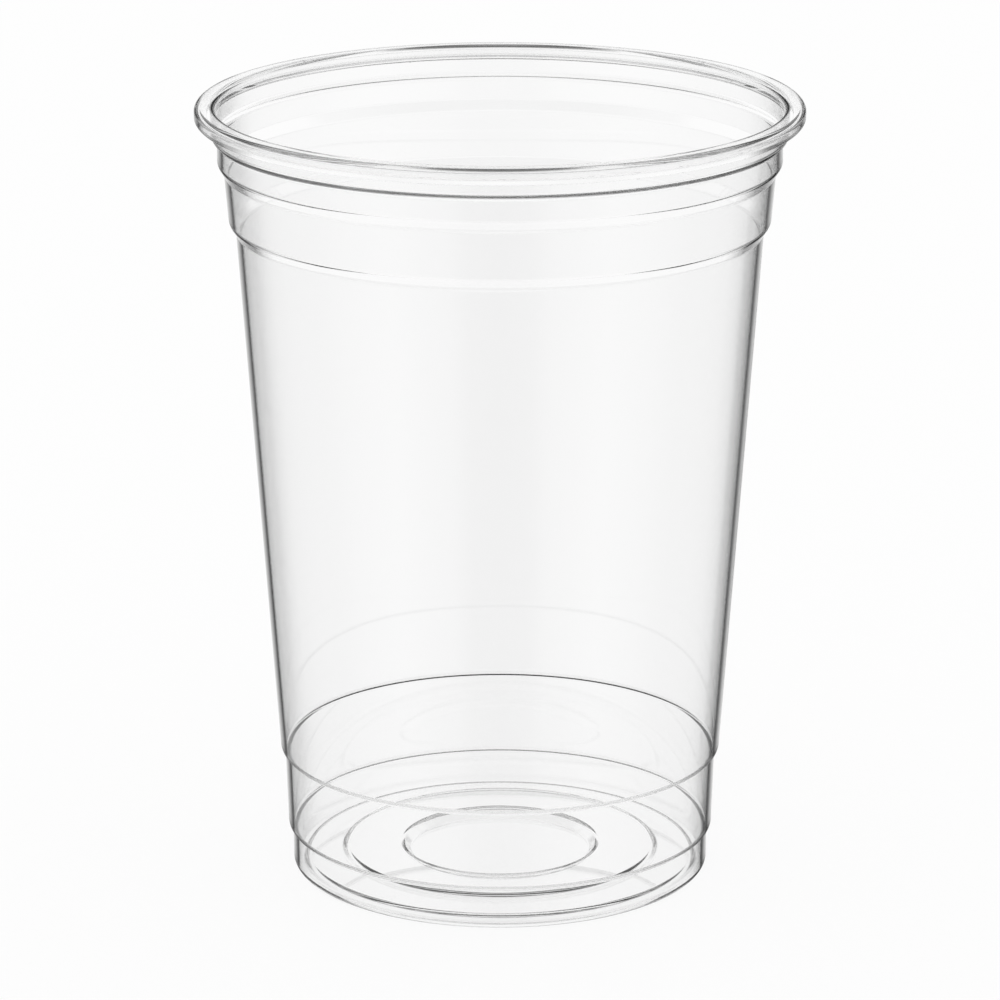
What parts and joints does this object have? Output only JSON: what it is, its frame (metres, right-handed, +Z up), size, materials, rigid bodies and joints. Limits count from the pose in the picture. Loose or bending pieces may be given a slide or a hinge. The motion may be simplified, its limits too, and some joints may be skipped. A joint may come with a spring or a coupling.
{
  "type": "plastic disposable cup",
  "caption": "Clear disposable cold-drink cup formed from thin plastic sheet, with a rolled rim, stacking shoulders, a long tapered wall and a raised floor.",
  "frame": {"origin": "centre of the cup, on the plane it stands on", "axes": "+Z up along the cup's axis, from the foot to the mouth; X and Y are alike because the cup is round"},
  "size_m": [0.098, 0.098, 0.1283],
  "materials": {
    "clear_plastic": "clear, smooth and glossy thin sheet"
  },
  "bodies": {
    "root": {"cup": "clear_plastic"}
  },
  "joints": []
}
